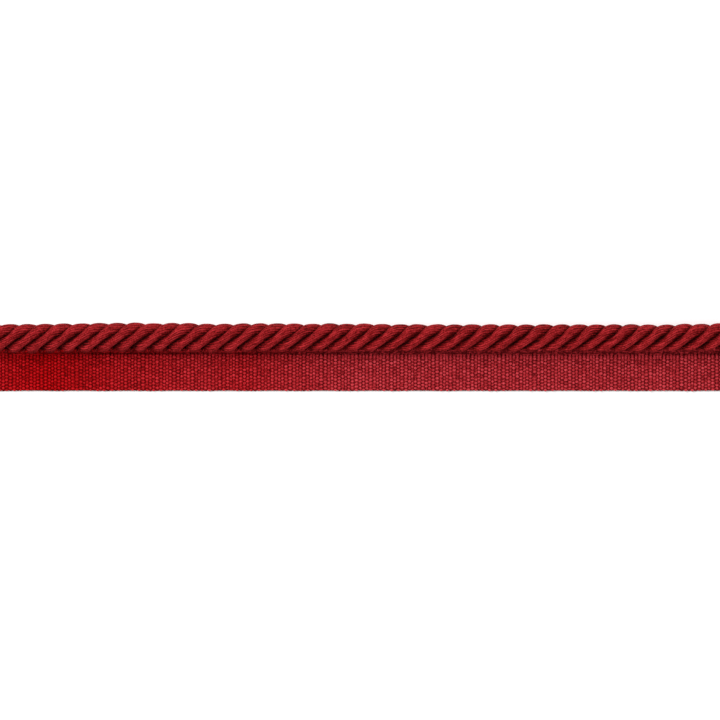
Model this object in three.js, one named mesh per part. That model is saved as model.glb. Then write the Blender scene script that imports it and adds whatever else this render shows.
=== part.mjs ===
// A cut length of flanged twisted cord, the trimming that is sewn into the seam of a cushion or curtain.
// Four soft strands are laid together into one round cord, and a ribbed woven tape is sewn along its
// underside. The tape is the flange that goes into the seam.
//
// Millimetres, +Z up. X runs along the cord, +Y is the cord's side and -Y is the tape's free edge.
// The cord's underside, pressed flat where it touches, and the tape's underside both rest at z = 0.

import * as THREE from "three";

const LENGTH = 256;

// The cord: its section has one lobe for each strand, an oval that is wider around the cord than it is deep
const STRANDS = 4;
const CORD_RADIUS = 5; // over the tops of the strands
const STRAND_HALF_DEPTH = 2;
const STRAND_HALF_WIDTH = 2.55;
const LAY = 23.64; // length of one full turn of a strand
const LAY_START = 1.77; // where a strand's top passes the cord's +Y side
const FLATTENED = 0.4; // how far the cord's weight presses its underside flat
const PRESSED = 0.3; // points of the cord that would lie lower than this are pressed onto the surface
const END_TAPER = 0.08; // share by which a cut end is drawn in
const END_LENGTH = 4;

// The tape: it lies flat, and its inner edge is tucked under the cord's flank
const TAPE_WIDTH_SHOWN = 12.35; // from the cord's side to the free edge
const TAPE_THICKNESS = 1;
const RIBS = 219;
const RIB_HEIGHT = 0.15;
const TAPE_TO_CORD_GAP = 0.3;

// The mesh steps
const STEPS_PER_TURN = 16;
const POINTS_PER_STRAND = 8;

// The cord's route, a row for each station: along is the place in X, bow is how far the cord strays
// towards +Y, and drift is how far the strands' turns run ahead of an even lay
const ROUTE = [
  { along: -128, bow: 0.0, drift: -0.4 },
  { along: -112, bow: -0.1, drift: -0.35 },
  { along: -96, bow: 0.1, drift: -0.3 },
  { along: -80, bow: 0.35, drift: 0.1 },
  { along: -64, bow: 0.3, drift: 0.3 },
  { along: -48, bow: 0.0, drift: 0.3 },
  { along: -32, bow: 0.15, drift: 0.05 },
  { along: -16, bow: 0.1, drift: 0.0 },
  { along: 0, bow: 0.05, drift: -0.3 },
  { along: 16, bow: -0.1, drift: -0.25 },
  { along: 32, bow: -0.2, drift: 0.2 },
  { along: 48, bow: -0.2, drift: 0.3 },
  { along: 64, bow: -0.15, drift: 0.5 },
  { along: 80, bow: -0.2, drift: 0.1 },
  { along: 96, bow: -0.2, drift: -0.3 },
  { along: 112, bow: 0.0, drift: -0.45 },
  { along: 128, bow: 0.1, drift: -0.4 },
];

// Places worked out from the sizes
const AXIS_Z = CORD_RADIUS - FLATTENED;
const CORD_SIDE = CORD_RADIUS + Math.max(...ROUTE.map((station) => station.bow));
const DEPTH = CORD_SIDE + CORD_RADIUS + TAPE_WIDTH_SHOWN;
const AXIS_Y = DEPTH / 2 - CORD_SIDE;
const FREE_EDGE_Y = -DEPTH / 2;
const TAPE_TOP_BELOW_AXIS = AXIS_Z - TAPE_THICKNESS - RIB_HEIGHT;
const TUCK = Math.sqrt((CORD_RADIUS + TAPE_TO_CORD_GAP) ** 2 - TAPE_TOP_BELOW_AXIS ** 2);

// A value of the route at x, on a smooth step between its two nearest stations
function routeAt(x, column) {
  const last = ROUTE.length - 2;
  const spacing = ROUTE[1].along - ROUTE[0].along;
  const place = (x - ROUTE[0].along) / spacing;
  const index = Math.min(Math.max(Math.floor(place), 0), last);
  const share = THREE.MathUtils.smoothstep(place - index, 0, 1);
  return THREE.MathUtils.lerp(ROUTE[index][column], ROUTE[index + 1][column], share);
}

// Distance from the cord's axis to the outside of a strand, at an angle from the strand's own middle
function strandReach(angle) {
  const centre = CORD_RADIUS - STRAND_HALF_DEPTH;
  const across = Math.cos(angle) / STRAND_HALF_DEPTH;
  const around = Math.sin(angle) / STRAND_HALF_WIDTH;
  const a = across ** 2 + around ** 2;
  const b = (centre * across) / STRAND_HALF_DEPTH;
  const c = (centre / STRAND_HALF_DEPTH) ** 2 - 1;
  return (b + Math.sqrt(b ** 2 - a * c)) / a;
}

// The outline of the cord cut straight across, with the first strand's middle on the shape's +X
function cordSection() {
  const points = [];
  const strandAngle = (2 * Math.PI) / STRANDS;
  for (let strand = 0; strand < STRANDS; strand++) {
    for (let point = 0; point < POINTS_PER_STRAND; point++) {
      const share = point / POINTS_PER_STRAND;
      const fromMiddle = strandAngle * (share <= 0.5 ? share : share - 1);
      const reach = strandReach(fromMiddle);
      const angle = strandAngle * (strand + share);
      points.push(new THREE.Vector2(reach * Math.cos(angle), reach * Math.sin(angle)));
    }
  }
  return new THREE.Shape(points);
}

// Extrudes a section from one end of the length to the other, then puts each of its points where
// place(x, across, up) says, with across and up as drawn in the section
function runAlongX(section, steps, place) {
  const geometry = new THREE.ExtrudeGeometry(section, { depth: LENGTH, steps, bevelEnabled: false });
  const position = geometry.attributes.position;
  for (let i = 0; i < position.count; i++) {
    const x = position.getZ(i) - LENGTH / 2;
    const [y, z] = place(x, position.getX(i), position.getY(i));
    position.setXYZ(i, x, y, z);
  }
  geometry.computeVertexNormals();
  return geometry;
}

// The cut ends are drawn in a little, as a cord's are when its strands are bound for cutting
function endScale(x) {
  const fromEnd = LENGTH / 2 - Math.abs(x);
  return 1 - END_TAPER * Math.max(0, 1 - fromEnd / END_LENGTH) ** 2;
}

function twistedCord() {
  const steps = Math.round((LENGTH / LAY) * STEPS_PER_TURN);
  const geometry = runAlongX(cordSection(), steps, (x, across, up) => {
    const turn = (-2 * Math.PI * (x - LAY_START - routeAt(x, "drift"))) / LAY;
    const scale = endScale(x);
    const y = scale * (across * Math.cos(turn) - up * Math.sin(turn));
    const z = scale * (across * Math.sin(turn) + up * Math.cos(turn));
    return [AXIS_Y + routeAt(x, "bow") + y, AXIS_Z + z < PRESSED ? 0 : AXIS_Z + z];
  });
  const material = new THREE.MeshStandardMaterial({ color: 0x8c161b, roughness: 0.85, metalness: 0 });
  const mesh = new THREE.Mesh(geometry, material);
  mesh.name = "cord";
  return mesh;
}

// The tape's upper face rises to a rib and falls to a furrow in turn, two steps to each rib, and its
// inner edge keeps beside the cord
function lipTape() {
  const innerEdge = AXIS_Y - TUCK;
  const ribPitch = LENGTH / RIBS;
  const section = new THREE.Shape([
    new THREE.Vector2(FREE_EDGE_Y, 0),
    new THREE.Vector2(innerEdge, 0),
    new THREE.Vector2(innerEdge, TAPE_THICKNESS),
    new THREE.Vector2(FREE_EDGE_Y, TAPE_THICKNESS),
  ]);
  const geometry = runAlongX(section, 2 * RIBS, (x, across, up) => {
    const halfRibs = Math.round((x + LENGTH / 2) / (ribPitch / 2));
    const rib = up > 0 && halfRibs % 2 === 1 ? RIB_HEIGHT : 0;
    const share = (across - FREE_EDGE_Y) / (innerEdge - FREE_EDGE_Y);
    return [across + share * routeAt(x, "bow"), up + rib];
  });
  const material = new THREE.MeshStandardMaterial({ color: 0x9a1f27, roughness: 0.75, metalness: 0 });
  const mesh = new THREE.Mesh(geometry, material);
  mesh.name = "lip_tape";
  return mesh;
}

const group = new THREE.Group();
group.name = "flanged_twisted_cord";
group.add(twistedCord(), lipTape());

export default group;
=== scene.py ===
import math

import bpy
import numpy as np
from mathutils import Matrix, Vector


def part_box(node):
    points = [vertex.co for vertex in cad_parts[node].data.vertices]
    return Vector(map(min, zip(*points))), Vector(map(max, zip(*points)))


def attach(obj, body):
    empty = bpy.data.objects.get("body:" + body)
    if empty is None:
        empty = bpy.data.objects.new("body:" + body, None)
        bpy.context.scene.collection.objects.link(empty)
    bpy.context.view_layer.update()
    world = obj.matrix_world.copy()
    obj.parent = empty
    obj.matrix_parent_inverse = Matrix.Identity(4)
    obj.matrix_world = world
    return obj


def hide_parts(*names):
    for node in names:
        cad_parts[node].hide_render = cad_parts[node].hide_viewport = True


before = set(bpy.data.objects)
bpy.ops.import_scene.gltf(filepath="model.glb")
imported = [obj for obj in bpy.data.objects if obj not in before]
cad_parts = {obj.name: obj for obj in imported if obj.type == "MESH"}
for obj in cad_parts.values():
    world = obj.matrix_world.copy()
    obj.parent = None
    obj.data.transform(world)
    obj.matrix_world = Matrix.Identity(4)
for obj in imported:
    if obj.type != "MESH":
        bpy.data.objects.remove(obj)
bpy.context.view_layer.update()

# The view of the length of trimming
# It lies on a white table and is seen square from above, through a long lens, so close that both cut
# ends are out of view. The cord runs a little above the middle of the picture.
mm = 0.001
width_in_view = 240 * mm
cord_radius = 5 * mm
tape_shown = 12.35 * mm
cord_above_picture_middle = 7.1 * mm

end_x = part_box("cord")[1][0]
free_edge_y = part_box("lip_tape")[0][1]
axis_y = free_edge_y + tape_shown + cord_radius
axis_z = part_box("cord")[1][2] - cord_radius

camera = bpy.data.objects.new("camera", bpy.data.cameras.new("camera"))
bpy.context.scene.collection.objects.link(camera)
bpy.context.scene.camera = camera
camera.data.lens = 200
camera.data.sensor_width = 36
distance = width_in_view / 2 * camera.data.lens / (camera.data.sensor_width / 2)
camera.location = (0, axis_y - cord_above_picture_middle, axis_z + distance)
camera.data.clip_end = 10

# The cord
# Four soft strands of dull viscose yarn, each a bundle of yarns that turn the other way. They are laid
# together, part over the top, and are held along their -Y side by the seam, tighter towards +X.
strands = 4
lay = 23.64 * mm
lay_start = 1.77 * mm
strand_depth = 2.0 * mm
closed_width = 2.8 * mm
parted_width = (1.9 * mm, 1.8 * mm)
middle_width = 2.3 * mm
parts_from = math.radians(20)
parts_over = math.radians(60)
closes_from = (math.radians(165), math.radians(146))
closes_over = math.radians(35)
contact_gap = math.radians(0.3)
core_depth = 0.85 * mm
core_spread = 0.35
yarns_per_strand = 14
points_per_yarn = 6
rings_per_strand = 270
yarn_turn = 16 * mm
yarn_relief = 0.18 * mm
yarn_unevenness = 0.07 * mm
yarn_size_share = 0.5
yarn_wander_share = 0.35
yarn_wander_lengths = (17 * mm, 7.3 * mm)
strand_swells = ((0.02, 41 * mm), (0.015, 13 * mm))
flattening = 0.12 * mm
lead = 0.2 * mm
lead_over_top = (0.17 * mm, 0.57 * mm)
lead_at_shoulder = (0.47 * mm, 0.33 * mm)
end_dome = 0.3 * mm
seam_tightens_from = -60 * mm
seam_tight_at = 40 * mm
seam_angle = math.radians(186)
seam_reach = 0.55
seam_draw = (0.05, 0.32)
hold = (2.9 * mm, -0.4 * mm)
hold_from = math.radians(134)
hold_most = math.radians(226)
hold_to = math.radians(350)
pull_starts = 6 * mm
grain_gap = 1 * mm

# The cord's route: place along X, bow towards +Y, and how far the turns have drifted ahead
route = [
    (-128 * mm, 0.0 * mm, -0.4 * mm),
    (-112 * mm, -0.1 * mm, -0.35 * mm),
    (-96 * mm, 0.1 * mm, -0.3 * mm),
    (-80 * mm, 0.35 * mm, 0.1 * mm),
    (-64 * mm, 0.3 * mm, 0.3 * mm),
    (-48 * mm, 0.0 * mm, 0.3 * mm),
    (-32 * mm, 0.15 * mm, 0.05 * mm),
    (-16 * mm, 0.1 * mm, 0.0 * mm),
    (0 * mm, 0.05 * mm, -0.3 * mm),
    (16 * mm, -0.1 * mm, -0.25 * mm),
    (32 * mm, -0.2 * mm, 0.2 * mm),
    (48 * mm, -0.2 * mm, 0.3 * mm),
    (64 * mm, -0.15 * mm, 0.5 * mm),
    (80 * mm, -0.2 * mm, 0.1 * mm),
    (96 * mm, -0.2 * mm, -0.3 * mm),
    (112 * mm, 0.0 * mm, -0.45 * mm),
    (128 * mm, 0.1 * mm, -0.4 * mm),
]


def smooth_step(value):
    value = np.clip(value, 0, 1)
    return value * value * (3 - 2 * value)


def route_at(x, column):
    """The bow (1) or the drift (2) of the route at x, on a smooth step between its stations."""
    stations = np.array(route)
    spacing = stations[1, 0] - stations[0, 0]
    index = np.clip(((x - stations[0, 0]) // spacing).astype(int), 0, len(route) - 2)
    share = smooth_step((x - stations[index, 0]) / spacing)
    return stations[index, column] * (1 - share) + stations[index + 1, column] * share


def by_tightness(x, loose_and_tight):
    """The value where the seam is loose, on a smooth step to the one where it is tight."""
    loose, tight = loose_and_tight
    share = smooth_step((x - seam_tightens_from) / (seam_tight_at - seam_tightens_from))
    return loose + (tight - loose) * share


def parted(angle, x):
    """0 where neighbouring strands press against each other, 1 where they stand apart."""
    angle = angle % (2 * math.pi)
    closed = smooth_step((angle - by_tightness(x, closes_from)) / closes_over)
    return smooth_step((angle - parts_from) / parts_over) * (1 - closed)


def drawn_in(angle, x):
    """The share of its reach that a strand keeps at an angle around the cord, 1 far from the seam."""
    from_seam = (angle % (2 * math.pi) - seam_angle) / seam_reach
    return 1 - by_tightness(x, seam_draw) * np.exp(-(from_seam**2))


def runs_ahead(angle, x):
    """How far the strands run ahead of an even lay along X, at an angle around the cord. The seam shifts
    them, and they make up for it underneath. At the cut ends nothing pulls on them."""
    over_top = by_tightness(x, lead_over_top) * np.sin(angle)
    at_shoulder = by_tightness(x, lead_at_shoulder) * np.sin(2 * angle)
    angle = angle % (2 * math.pi)
    rise = smooth_step((angle - hold_from) / (hold_most - hold_from))
    fall = smooth_step((angle - hold_most) / (hold_to - hold_most))
    pulled = smooth_step((end_x - np.abs(x)) / pull_starts)
    return pulled * (lead + over_top + at_shoulder + by_tightness(x, hold) * (rise - fall))


def yarn_mesh(name, tubes, along, around, dome=0.0, first=0):
    """One mesh of closed yarns. tubes is an array of (yarn, ring, point of the ring, xyz). Along and
    around are the lengths that the yarns' own grain is measured by, kept in the UV layer grain."""
    count, rings, sides, _ = tubes.shape
    ring_start = (np.arange(count * rings) * sides).reshape(count, rings)
    here, there = ring_start[:, :-1, None], ring_start[:, 1:, None]
    side = np.arange(sides)
    after = (side + 1) % sides
    quads = np.stack([here + side, there + side, there + after, here + after], axis=-1).reshape(-1, 4)
    head, tail = tubes[:, 0], tubes[:, -1]
    outward = np.array([dome, 0, 0])
    middles = np.concatenate([head.mean(axis=1) - outward, tail.mean(axis=1) + outward])
    middle = count * rings * sides + np.arange(count)
    start, end = ring_start[:, 0, None], ring_start[:, -1, None]
    caps = np.concatenate(
        [
            np.stack(np.broadcast_arrays(middle[:, None], start + side, start + after), axis=-1),
            np.stack(np.broadcast_arrays(middle[:, None] + count, end + after, end + side), axis=-1),
        ]
    ).reshape(-1, 3)
    mesh = bpy.data.meshes.new(name)
    points = np.concatenate([tubes.reshape(-1, 3), middles])
    mesh.from_pydata(points.tolist(), [], quads.tolist() + caps.tolist())
    ring_at = np.linspace(0, along, rings)
    side_at = np.linspace(0, around, sides + 1)
    u = np.broadcast_arrays(ring_at[:-1, None], ring_at[1:, None], ring_at[1:, None], ring_at[:-1, None])
    v = np.broadcast_arrays(side_at[:-1], side_at[:-1], side_at[1:], side_at[1:])
    u = np.stack([np.broadcast_to(part, (rings - 1, sides)) for part in u], axis=-1)
    v = np.stack([np.broadcast_to(part, (rings - 1, sides)) for part in v], axis=-1)
    shift = (first + np.arange(count)) * (around + grain_gap)
    grain = np.stack([u, v], axis=-1)[None] + shift[:, None, None, None, None] * [0, 1]
    flat_caps = np.zeros((len(caps) * 3, 2))
    layer = mesh.uv_layers.new(name="grain")
    layer.data.foreach_set("uv", np.concatenate([grain.reshape(-1, 2), flat_caps]).ravel())
    mesh.shade_smooth()
    piece = bpy.data.objects.new(name, mesh)
    bpy.context.scene.collection.objects.link(piece)
    return piece


def strand_rings(strand, unevenness):
    """The rings of one strand, each cut straight across the cord."""
    x = np.linspace(-end_x, end_x, rings_per_strand)[:, None]
    turn = -2 * math.pi * (x - lay_start - route_at(x, 2)) / lay + 2 * math.pi * strand / strands
    points = yarns_per_strand * points_per_yarn
    place = np.arange(points)[None, :]
    angle = 2 * math.pi * (place / points + x / yarn_turn)
    yarn = place // points_per_yarn
    across_yarn = (place % points_per_yarn) / points_per_yarn
    phase = unevenness.uniform(0, 2 * math.pi, (2, yarns_per_strand))
    size = unevenness.normal(0, 1, yarns_per_strand)
    wander = 0
    for length, start in zip(yarn_wander_lengths, phase):
        wander = wander + np.sin(2 * math.pi * x / length + start[yarn])
    round_yarn = np.sqrt(1 - (2 * across_yarn - 1) ** 2)
    relief = yarn_relief * (round_yarn - 1)
    uneven = yarn_size_share * size[yarn] + yarn_wander_share * wander
    relief = relief + yarn_unevenness * uneven * round_yarn
    swell = 1
    starts = unevenness.uniform(0, 2 * math.pi, 3)[: len(strand_swells)]
    for (share, length), start in zip(strand_swells, starts):
        swell = swell + share * np.sin(2 * math.pi * x / length + start)
    inward = np.clip(-np.cos(angle), 0, 1)
    outward = strand_depth * swell + relief + core_depth * inward
    outward = cord_radius - strand_depth + outward * np.cos(angle)
    lean = np.arctan2(middle_width * np.sin(angle), outward)
    width = closed_width + (by_tightness(x, parted_width) - closed_width) * parted(turn + lean, x)
    sideways = (width * swell + relief) * (1 + core_spread * inward) * np.sin(angle)
    widest = math.pi / strands - contact_gap
    lean = np.clip(np.arctan2(sideways, outward), -widest, widest)
    around = turn + lean
    reach = np.hypot(outward, sideways) * drawn_in(around, x)
    y = axis_y + route_at(x, 1) + reach * np.cos(around)
    z = axis_z + reach * np.sin(around)
    z = (z + np.sqrt(z * z + flattening**2)) / 2
    return np.stack([x + runs_ahead(around, x), y, z], axis=-1)


unevenness = np.random.default_rng(4)
strand_tubes = np.stack([strand_rings(strand, unevenness) for strand in range(strands)])
strand_round = 2 * math.pi * strand_depth
cord = yarn_mesh("twisted_cord", strand_tubes, 2 * end_x, strand_round, end_dome)
# The strands' rings run from +Y towards +Z, so their faces look inwards until they are flipped
cord.data.flip_normals()


def calculate(tree, operation, *values):
    """A sum inside a material, on numbers or on sockets. Gives the socket of its result."""
    made = tree.nodes.new("ShaderNodeMath")
    made.operation = operation
    feed(tree, made.inputs, values)
    return made.outputs[0]


def feed(tree, sockets, values):
    for socket, value in zip(sockets, values):
        if isinstance(value, (int, float)):
            socket.default_value = value
        else:
            tree.links.new(value, socket)


def noise(tree, x, y, z=0.0):
    place = tree.nodes.new("ShaderNodeCombineXYZ")
    feed(tree, place.inputs, (x, y, z))
    made = tree.nodes.new("ShaderNodeTexNoise")
    made.inputs["Scale"].default_value = 1
    made.inputs["Detail"].default_value = 1
    tree.links.new(place.outputs[0], made.inputs["Vector"])
    return made.outputs[0]


def ramp(tree, value, stops):
    """Colours or grey levels on stops of a value between 0 and 1."""
    made = tree.nodes.new("ShaderNodeValToRGB")
    elements = made.color_ramp.elements
    while len(elements) < len(stops):
        elements.new(0.5)
    for element, (at, colour) in zip(elements, stops):
        element.position = at
        element.color = (*colour, 1) if isinstance(colour, tuple) else (colour, colour, colour, 1)
    tree.links.new(value, made.inputs["Fac"])
    return made.outputs["Color"]


def yarn_material(name, roughness, specular):
    """A matte material, with the sockets of the grain's two directions and of the place in metres."""
    material = bpy.data.materials.new(name)
    material.use_nodes = True
    tree = material.node_tree
    shader = tree.nodes["Principled BSDF"]
    shader.inputs["Roughness"].default_value = roughness
    shader.inputs["Specular IOR Level"].default_value = specular
    grain = tree.nodes.new("ShaderNodeUVMap")
    grain.uv_map = "grain"
    grain_parts = tree.nodes.new("ShaderNodeSeparateXYZ")
    tree.links.new(grain.outputs[0], grain_parts.inputs[0])
    place = tree.nodes.new("ShaderNodeTexCoord")
    place_parts = tree.nodes.new("ShaderNodeSeparateXYZ")
    tree.links.new(place.outputs["Object"], place_parts.inputs[0])
    return material, tree, shader, grain_parts.outputs[:2], place_parts.outputs[:3]


def fade(tree, value, start, end, low=0.0, high=1.0, smooth=False):
    """Goes from low to high while a value goes from start to end, and no further."""
    made = tree.nodes.new("ShaderNodeMapRange")
    made.interpolation_type = "SMOOTHSTEP" if smooth else "LINEAR"
    feed(tree, made.inputs, (value, start, end, low, high))
    return made.outputs[0]


def weighed(tree, level, parts):
    """A level with each part added to it, times the part's weight."""
    for part, weight in parts:
        level = calculate(tree, "MULTIPLY_ADD", part, weight, level)
    return level


def raised_fibres(tree, shader, height, depth):
    bump = tree.nodes.new("ShaderNodeBump")
    bump.inputs["Distance"].default_value = depth
    tree.links.new(height, bump.inputs["Height"])
    tree.links.new(bump.outputs[0], shader.inputs["Normal"])


def speckle(tree, place, size):
    """Even mottling in all directions."""
    return noise(tree, *[calculate(tree, "MULTIPLY", part, 1 / size) for part in place])


cord_roughness = 0.9
cord_specular = 0.08
cord_level = -2.05
# Painted shade: the yarns are darker towards the furrows between them, where they shade each other
furrow_shade_weight = 0.5
furrow_sharpness = 0.6
cord_tone_weight = 0.7
cord_tone_length = 9 * mm
tone_step = 7.3
fibre_weight = 1.3
fibre_length = 1.8 * mm
fibre_width = 0.4 * mm
cord_speck_weight = 1.5
cord_speck_size = 0.4 * mm
# Painted shade deep in the grooves between the strands, by distance from the cord's axis
groove_shade_weight = 0.52
groove_shade_from = 2.8 * mm
groove_shade_to = 4.6 * mm
# Painted shade on the strands' lower flank, towards the seam
seam_shade_weight = -0.3
seam_shade_from = 3.4 * mm
seam_shade_to = 4.6 * mm
fibre_height = 0.08 * mm
cord_colours = [(0.0, (0.027, 0.0004, 0.0004)), (0.45, (0.18, 0.003, 0.004)), (1.0, (0.43, 0.022, 0.027))]


def cord_yarn_material():
    """Crimson yarns, with painted shade in the furrows between them, deep between the strands and on their
    lower flank at the seam. Some yarns are paler, and loose fibres mottle them."""
    made = yarn_material("cord_yarn", cord_roughness, cord_specular)
    material, tree, shader, (along, across), place = made
    yarn = calculate(tree, "MULTIPLY", across, yarns_per_strand / strand_round)
    # Painted shade in the furrows between the yarns
    furrow = calculate(tree, "ABSOLUTE", calculate(tree, "SINE", calculate(tree, "MULTIPLY", yarn, math.pi)))
    furrow = calculate(tree, "POWER", furrow, furrow_sharpness)
    yarn_number = calculate(tree, "FLOOR", yarn)
    tone_along = calculate(tree, "MULTIPLY", along, 1 / cord_tone_length)
    tone = noise(tree, tone_along, calculate(tree, "MULTIPLY", yarn_number, tone_step))
    long_way = calculate(tree, "MULTIPLY", along, 1 / fibre_length)
    short_way = calculate(tree, "MULTIPLY", across, 1 / fibre_width)
    fibre = noise(tree, long_way, short_way)
    specks = speckle(tree, place, cord_speck_size)
    from_axis = calculate(tree, "SUBTRACT", place[1], axis_y), calculate(tree, "SUBTRACT", place[2], axis_z)
    squares = [calculate(tree, "MULTIPLY", part, part) for part in from_axis]
    reach = calculate(tree, "SQRT", calculate(tree, "ADD", *squares))
    # Painted shade: darker the nearer the yarn lies to the cord's axis, deep between the strands
    groove_shade = fade(tree, reach, groove_shade_from, groove_shade_to, smooth=True)
    # Painted shade: the strands are darker low on their -Y flank, by the seam
    seam_shade = fade(tree, place[1], axis_y - seam_shade_from, axis_y - seam_shade_to)
    level = calculate(tree, "MULTIPLY_ADD", furrow, furrow_shade_weight, cord_level)
    yarn_parts = ((tone, cord_tone_weight), (fibre, fibre_weight), (specks, cord_speck_weight))
    level = weighed(tree, level, yarn_parts)
    place_parts = ((groove_shade, groove_shade_weight), (seam_shade, seam_shade_weight))
    level = weighed(tree, level, place_parts)
    tree.links.new(ramp(tree, level, cord_colours), shader.inputs["Base Color"])
    raised_fibres(tree, shader, level, fibre_height)
    return material


cord_yarn = cord_yarn_material()
cord.data.materials.append(cord_yarn)
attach(cord, "root")
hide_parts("cord")

# The warp ends of the lip tape
# They run along the tape over one thick pick and under the next, so their tops lie like bricks. The
# last two are tucked under the cord's flank.
picks = 219
warp_ends = 24
warp_spacing = 0.553 * mm
warp_half_width = (0.23 * mm, 0.42 * mm)
warp_half_height = 0.19 * mm
warp_rise = 0.37 * mm
warp_unevenness = 0.22
warp_sway = 0.07 * mm
warp_sway_length = 2.6 * mm
float_taper = 1.3
rings_per_pick = 4
yarn_sides = 8
odd_grain_start = 100
tape_middle_z = warp_rise + warp_half_height
pick_pitch = 2 * end_x / picks
tape_width = warp_ends * warp_spacing
seam_ends = 4
seam_flattening = (0, 0.35)
tucked_ends = 2
tucked_z = 0.25 * mm
tucked_rise = 0.05 * mm
pick_sway = 0.13 * mm
pick_sway_lengths = (1.9 * mm, 0.87 * mm)


def yarn_tube(path, half_width, half_height, sides, up=(0, 0, 1)):
    """Rings of an oval yarn along a path that nowhere runs the way of up."""
    ahead = np.gradient(path, axis=0)
    ahead /= np.linalg.norm(ahead, axis=1, keepdims=True)
    beside = np.cross(ahead, up)
    beside /= np.linalg.norm(beside, axis=1, keepdims=True)
    above = np.cross(beside, ahead)
    angle = 2 * math.pi * np.arange(sides) / sides
    half_width = np.broadcast_to(half_width, len(path))[:, None, None]
    half_height = np.broadcast_to(half_height, len(path))[:, None, None]
    oval = beside[:, None] * half_width * np.cos(angle)[None, :, None]
    return path[:, None] + oval + above[:, None] * half_height * np.sin(angle)[None, :, None]


def pick_wander(x):
    """The picks are not quite evenly spaced."""
    slow, quick = pick_sway_lengths
    return pick_sway * (np.sin(x / slow) + np.sin(x / quick + 2))


def warp_end(number, unevenness):
    x = np.linspace(-end_x, end_x, picks * rings_per_pick + 1)
    over_picks = (x + end_x) / pick_pitch
    wave = np.cos(math.pi * (over_picks - 0.5 + number))
    full = 1 + warp_unevenness * unevenness.normal(0, 1, picks + 1)[over_picks.astype(int)]
    y = free_edge_y + (number + 0.5) * warp_spacing
    y = y + warp_sway * np.sin(x / warp_sway_length + 3 * number)
    flattened = by_tightness(x, seam_flattening) if number >= warp_ends - seam_ends else 0 * x
    z = tape_middle_z + warp_rise * wave * full * (1 - flattened)
    if number >= warp_ends - tucked_ends:
        z = tucked_z + tucked_rise * wave
    z = np.maximum(z, warp_half_height)
    narrow, wide = warp_half_width
    half_width = narrow + (wide - narrow) * np.abs(wave) ** float_taper * full
    return yarn_tube(np.stack([x + pick_wander(x), y, z], axis=-1), half_width, warp_half_height, yarn_sides)


tape_roughness = 0.85
tape_specular = 0.03
tape_level = -0.77
# Painted shade low in the weave, between the yarns
weave_shade_weight = 0.65
weave_shade_from = 0.72 * mm
weave_shade_to = 1.12 * mm
tape_tone_weight = 0.35
pick_tone_step = 3.7
tape_speck_weight = 1.3
tape_speck_size = 0.35 * mm
# Painted shade on the tape beside and under the cord, reaching further from it towards +X
cord_shade_weight = -1.46
cord_shade_from = (5.3 * mm, 5.75 * mm)
cord_shade_to = 4.95 * mm
# Blotches in the painted shade beside the cord
shade_blotch_weight = 1.6
shade_blotch_size = 1.1 * mm
# Painted light on the loops higher up the cord's flank
flank_light_weight = 0.1
flank_light_from = 2.5 * mm
flank_light_to = 4.2 * mm
# Painted light towards the free edge, away from the cord's shade
edge_light_weight = 0.04
edge_light_from = 11 * mm
# The first colours carry a painted sheen, a whitish tint that grows towards the bright end; the second are
# the same crimson with little of that painted sheen
sheen_colours = [(0.0, (0.07, 0.002, 0.003)), (0.45, (0.41, 0.021, 0.028)), (1.0, (0.66, 0.07, 0.09))]
less_sheen_colours = [(0.0, (0.07, 0.0004, 0.0005)), (0.45, (0.36, 0.001, 0.002)), (1.0, (0.6, 0.006, 0.011))]

# How much of the colours with less painted sheen there is, from the tape's -X end (0) to its +X end (1)
less_sheen_share = [(0.0, 0.8), (0.09, 1.0), (0.2, 0.7), (0.3, 0.5), (0.35, 0.6), (0.4, 0.35), (0.5, 0.0)]


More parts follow.
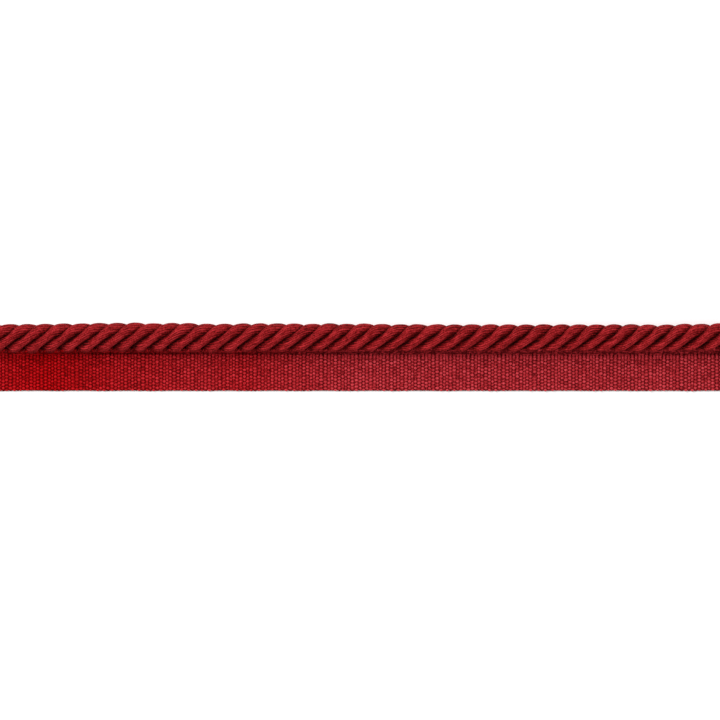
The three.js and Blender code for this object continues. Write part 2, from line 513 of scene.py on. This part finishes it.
def tape_yarn_material():
    """Crimson yarns with a painted sheen, painted shade deep in the weave and beside the cord, blotched
    there, and painted light higher up the cord's flank and towards the free edge. Along one stretch the
    sheen is weaker."""
    made = yarn_material("tape_weave", tape_roughness, tape_specular)
    material, tree, shader, (along, across), place = made
    # Painted shade: the yarns are darker the lower they lie in the weave
    deep = fade(tree, place[2], weave_shade_from, weave_shade_to)
    float_number = calculate(tree, "FLOOR", calculate(tree, "MULTIPLY", along, 1 / pick_pitch))
    end_number = calculate(tree, "MULTIPLY", across, 1 / (2 * math.pi * warp_half_width[1] + grain_gap))
    end_number = calculate(tree, "FLOOR", end_number)
    tone_along = calculate(tree, "MULTIPLY", float_number, pick_tone_step)
    tone_across = calculate(tree, "MULTIPLY", end_number, tone_step)
    tone = noise(tree, tone_along, tone_across)
    specks = speckle(tree, place, tape_speck_size)
    # Painted shade where the tape lies beside and under the cord
    loose, tight = cord_shade_from
    cord_shade_y = fade(tree, place[0], seam_tightens_from, seam_tight_at, axis_y - loose, axis_y - tight)
    cord_shade = fade(tree, place[1], cord_shade_y, axis_y - cord_shade_to)
    # Painted shade: blotches within the painted shade beside the cord
    shade_blotches = calculate(tree, "MULTIPLY", speckle(tree, place, shade_blotch_size), cord_shade)
    # Painted light: paler the higher the loops climb the cord's flank, out of its shade
    climbing = fade(tree, place[2], flank_light_from, flank_light_to)
    # Painted light: paler towards the free edge, away from the cord
    edge_light = fade(tree, place[1], axis_y - edge_light_from, free_edge_y)
    level = calculate(tree, "MULTIPLY_ADD", deep, weave_shade_weight, tape_level)
    yarn_parts = ((tone, tape_tone_weight), (specks, tape_speck_weight), (shade_blotches, shade_blotch_weight))
    level = weighed(tree, level, yarn_parts)
    place_parts = ((cord_shade, cord_shade_weight), (climbing, flank_light_weight), (edge_light, edge_light_weight))
    level = weighed(tree, level, place_parts)
    share = calculate(tree, "MULTIPLY_ADD", place[0], 0.5 / end_x, 0.5)
    mix = tree.nodes.new("ShaderNodeMix")
    mix.data_type = "RGBA"
    share_socket, *colours = [mix.inputs[0]] + [socket for socket in mix.inputs if socket.type == "RGBA"]
    # Painted sheen: mixed along X between the crimson with painted sheen and the same crimson with less of
    # it
    tree.links.new(ramp(tree, share, less_sheen_share), share_socket)
    tree.links.new(ramp(tree, level, sheen_colours), colours[0])
    tree.links.new(ramp(tree, level, less_sheen_colours), colours[1])
    mixed = next(socket for socket in mix.outputs if socket.type == "RGBA")
    tree.links.new(mixed, shader.inputs["Base Color"])
    raised_fibres(tree, shader, specks, fibre_height)
    return material


tape_weave = tape_yarn_material()
unevenness = np.random.default_rng(7)
for first, name in enumerate(["tape_warp_even", "tape_warp_odd"]):
    ends = np.stack([warp_end(number, unevenness) for number in range(first, warp_ends, 2)])
    warp_round = 2 * math.pi * warp_half_width[1]
    warp = yarn_mesh(name, ends, 2 * end_x, warp_round, first=odd_grain_start * first)
    warp.data.materials.append(tape_weave)
    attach(warp, "root")

# The picks of the lip tape
# They are one thick yarn that runs across the tape, turns round its edge and comes back. It makes the
# tape's ribs.
pick_half = 0.24 * mm
pick_tuck = 0.3 * mm
pick_sides = 6
tuck_from = 3 * warp_spacing
tuck_over = 2 * warp_spacing
points_across = 10
turn_angles = np.radians([36, 72, 108, 144])
tape_inner_y = free_edge_y + tape_width


def tuck_at(y):
    """0 over the open tape, 1 where its inner edge is tucked under the cord."""
    return smooth_step((y - (tape_inner_y - tuck_from)) / tuck_over)


def pick_path():
    points = []
    inset = pick_pitch / 2 + pick_half
    for number in range(picks):
        x = -end_x + (number + 0.5) * pick_pitch
        inner, outer = tape_inner_y - inset, free_edge_y + inset
        ends = (outer, inner) if number % 2 == 0 else (inner, outer)
        for y in np.linspace(*ends, points_across):
            points.append((x, y))
        if number < picks - 1:
            out = 1 if number % 2 == 0 else -1
            for angle in turn_angles:
                around_x = x + pick_pitch / 2 * (1 - math.cos(angle))
                points.append((around_x, ends[1] + out * pick_pitch / 2 * math.sin(angle)))
    x, y = np.array(points).T
    return np.stack([x + pick_wander(x), y, tape_middle_z - pick_tuck * tuck_at(y)], axis=-1)


weft_tube = yarn_tube(pick_path(), pick_half, pick_half, pick_sides)[None]
weft = yarn_mesh("tape_weft", weft_tube, picks * tape_width, 2 * math.pi * pick_half)
weft.data.materials.append(tape_weave)
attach(weft, "root")

# The loops of the seam
# The tape is joined to the cord by a row of knitted loops, one from each pick. They stand out bare on
# the tape, then climb the cord's flank side by side and end between the strands.
loop_half_width = (0.42 * mm, 0.74 * mm)
loop_half_height = 0.2 * mm
loop_widens = [3, 4.6]
loop_length = 7 * mm
climb_draw = (0.1 * mm, -0.45 * mm)
climb_drawn_above = 4 * mm
level_lift = (-0.15 * mm, -0.06 * mm)
foot_unevenness = 0.12 * mm
head_unevenness = 0.06 * mm
lean_unevenness = 0.08 * mm

# A loop's run, as distances from the cord's axis and heights: level on the tape, then up the flank
level_run = np.array(
    [
        (7.1 * mm, 0.55 * mm),
        (6.5 * mm, 0.85 * mm),
        (6.0 * mm, 0.93 * mm),
        (5.5 * mm, 0.85 * mm),
    ]
)
climb = np.array(
    [
        (5.1 * mm, 0.9 * mm),
        (4.8 * mm, 1.3 * mm),
        (4.6 * mm, 1.9 * mm),
        (4.45 * mm, 2.8 * mm),
        (4.32 * mm, 3.8 * mm),
        (4.15 * mm, 4.6 * mm),
        (3.8 * mm, 5.0 * mm),
        (3.3 * mm, 4.9 * mm),
    ]
)


def seam_loop(x, unevenness):
    """A loop widens where it leaves the tape, and is drawn towards the cord as it climbs."""
    place = np.array([x])
    level_part = level_run + [foot_unevenness * unevenness.normal(), 0]
    level_part[1:, 1] += by_tightness(place, level_lift)
    drawn = by_tightness(place, climb_draw) * smooth_step(climb[:, 1] / climb_drawn_above)
    climbing = climb + np.stack([drawn + head_unevenness * unevenness.normal(), 0 * drawn], axis=-1)
    stations = np.concatenate([level_part, climbing])
    along = x + np.linspace(0, 1, len(stations)) * lean_unevenness * unevenness.normal() + pick_wander(x)
    path = np.stack([along, axis_y + route_at(place, 1) - stations[:, 0], stations[:, 1]], axis=-1)
    widths = np.interp(np.arange(len(stations)), loop_widens, loop_half_width)
    return yarn_tube(path, widths, loop_half_height, yarn_sides, up=(0, -1, 1))


unevenness = np.random.default_rng(11)
loops = np.stack([seam_loop(-end_x + (number + 0.5) * pick_pitch, unevenness) for number in range(picks)])
seam_loops = yarn_mesh("seam_loops", loops, loop_length, 2 * math.pi * loop_half_width[0])
seam_loops.data.materials.append(tape_weave)
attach(seam_loops, "root")

# The stitches
# Thick sewing thread in the cord's own colour comes out between two strands, passes over the heads of
# the loops and goes back in under them.
stitch_half = 0.35 * mm
stitch_length = 3 * mm
stitch_angle = math.radians(172)
stitch_lean = 0.6 * mm
stitch_unevenness = 0.15 * mm
stitch_end_gap = 2 * mm
stitch_reach = np.array([3.0, 3.5, 3.9, 4.1, 4.1, 4.0, 3.8]) * mm
stitch_z = np.array([4.6, 5.1, 5.2, 5.0, 4.6, 4.2, 3.8]) * mm


def stitch_places():
    """Where the stitches lie along X: one between every two strands, well inside the cut ends."""
    number = np.arange(int(-end_x / lay * strands), int(2 * end_x / lay * strands))
    x = lay_start + lay / strands * (number + 0.5) - lay * stitch_angle / (2 * math.pi)
    x = x + route_at(x, 2) + runs_ahead(stitch_angle, x)
    return x[np.abs(x) < end_x - stitch_end_gap]


def seam_stitch(x, unevenness):
    bow = route_at(np.array([x]), 1)
    along = x + stitch_unevenness * unevenness.normal()
    along = along + np.linspace(stitch_lean, -stitch_lean, len(stitch_z))
    reach = stitch_reach + by_tightness(x, climb_draw)
    path = np.stack([along, axis_y + bow - reach, stitch_z], axis=-1)
    return yarn_tube(path, stitch_half, stitch_half, yarn_sides, up=(0, -1, 1))


stitch_tubes = np.stack([seam_stitch(x, unevenness) for x in stitch_places()])
stitches = yarn_mesh("seam_stitches", stitch_tubes, stitch_length, 2 * math.pi * stitch_half)
stitches.data.materials.append(cord_yarn)
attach(stitches, "root")

# The ground of the lip tape
# The packed fibres between the yarns close the weave. The whole tape is one flat woven strip, which
# lies level and is tucked under the cord's flank along its inner edge.
ground_half = 0.2 * mm
ground_swell = 0.08 * mm
ground_rows = 12
ground_tuck = 0.35 * mm
ground_thinning = 0.3


def ground_rings():
    x = np.linspace(-end_x, end_x, rings_per_pick * picks + 1)[:, None]
    rows = np.linspace(free_edge_y, tape_inner_y, ground_rows)
    y = np.concatenate([rows, rows[::-1]])[None, :] + 0 * x
    side = np.repeat([-1, 1], ground_rows)[None, :]
    half = ground_half + ground_swell * np.cos(2 * math.pi * ((x + end_x) / pick_pitch - 0.5))
    z = tape_middle_z + side * half * (1 - ground_thinning * tuck_at(y)) - ground_tuck * tuck_at(y)
    return np.stack([x + pick_wander(x) + 0 * y, y, z], axis=-1)[None]


tape_ground = yarn_mesh("tape_ground", ground_rings(), 2 * end_x, 2 * tape_width)
# These rings run the same way round as the strands' rings, so these faces are flipped too
tape_ground.data.flip_normals()
tape_ground.data.materials.append(tape_weave)
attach(tape_ground, "root")
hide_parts("lip_tape")

# The table and the studio light
# A wide white table, even light from all around, and one large soft light from above and behind.
bpy.ops.mesh.primitive_plane_add(size=6, location=(0, 0, 0))
table = bpy.context.object
table.name = "white_table"
white = bpy.data.materials.new("white_table")
white.use_nodes = True
white_shader = white.node_tree.nodes["Principled BSDF"]
white_shader.inputs["Base Color"].default_value = (0.95, 0.95, 0.95, 1)
white_shader.inputs["Roughness"].default_value = 1
white_shader.inputs["Emission Color"].default_value = (1, 1, 1, 1)
white_shader.inputs["Emission Strength"].default_value = 0.08
table.data.materials.append(white)

world = bpy.data.worlds.new("studio")
bpy.context.scene.world = world
world.use_nodes = True
world.node_tree.nodes["Background"].inputs["Color"].default_value = (1, 1, 1, 1)
world.node_tree.nodes["Background"].inputs["Strength"].default_value = 0.78

window_distance = 1.5
window_tilt_x = math.radians(32)
window_tilt_y = math.radians(24)
window = bpy.data.lights.new("window_light", "AREA")
window.size = 0.7
window.energy = 15
window_lamp = bpy.data.objects.new("window_light", window)
from_cord = np.array([-math.tan(window_tilt_x), math.tan(window_tilt_y), 1.0])
window_lamp.location = window_distance * from_cord / np.linalg.norm(from_cord)
window_lamp.rotation_euler = (-window_lamp.location).to_track_quat("-Z", "Y").to_euler()
bpy.context.scene.collection.objects.link(window_lamp)
bpy.context.scene.view_settings.view_transform = "Standard"
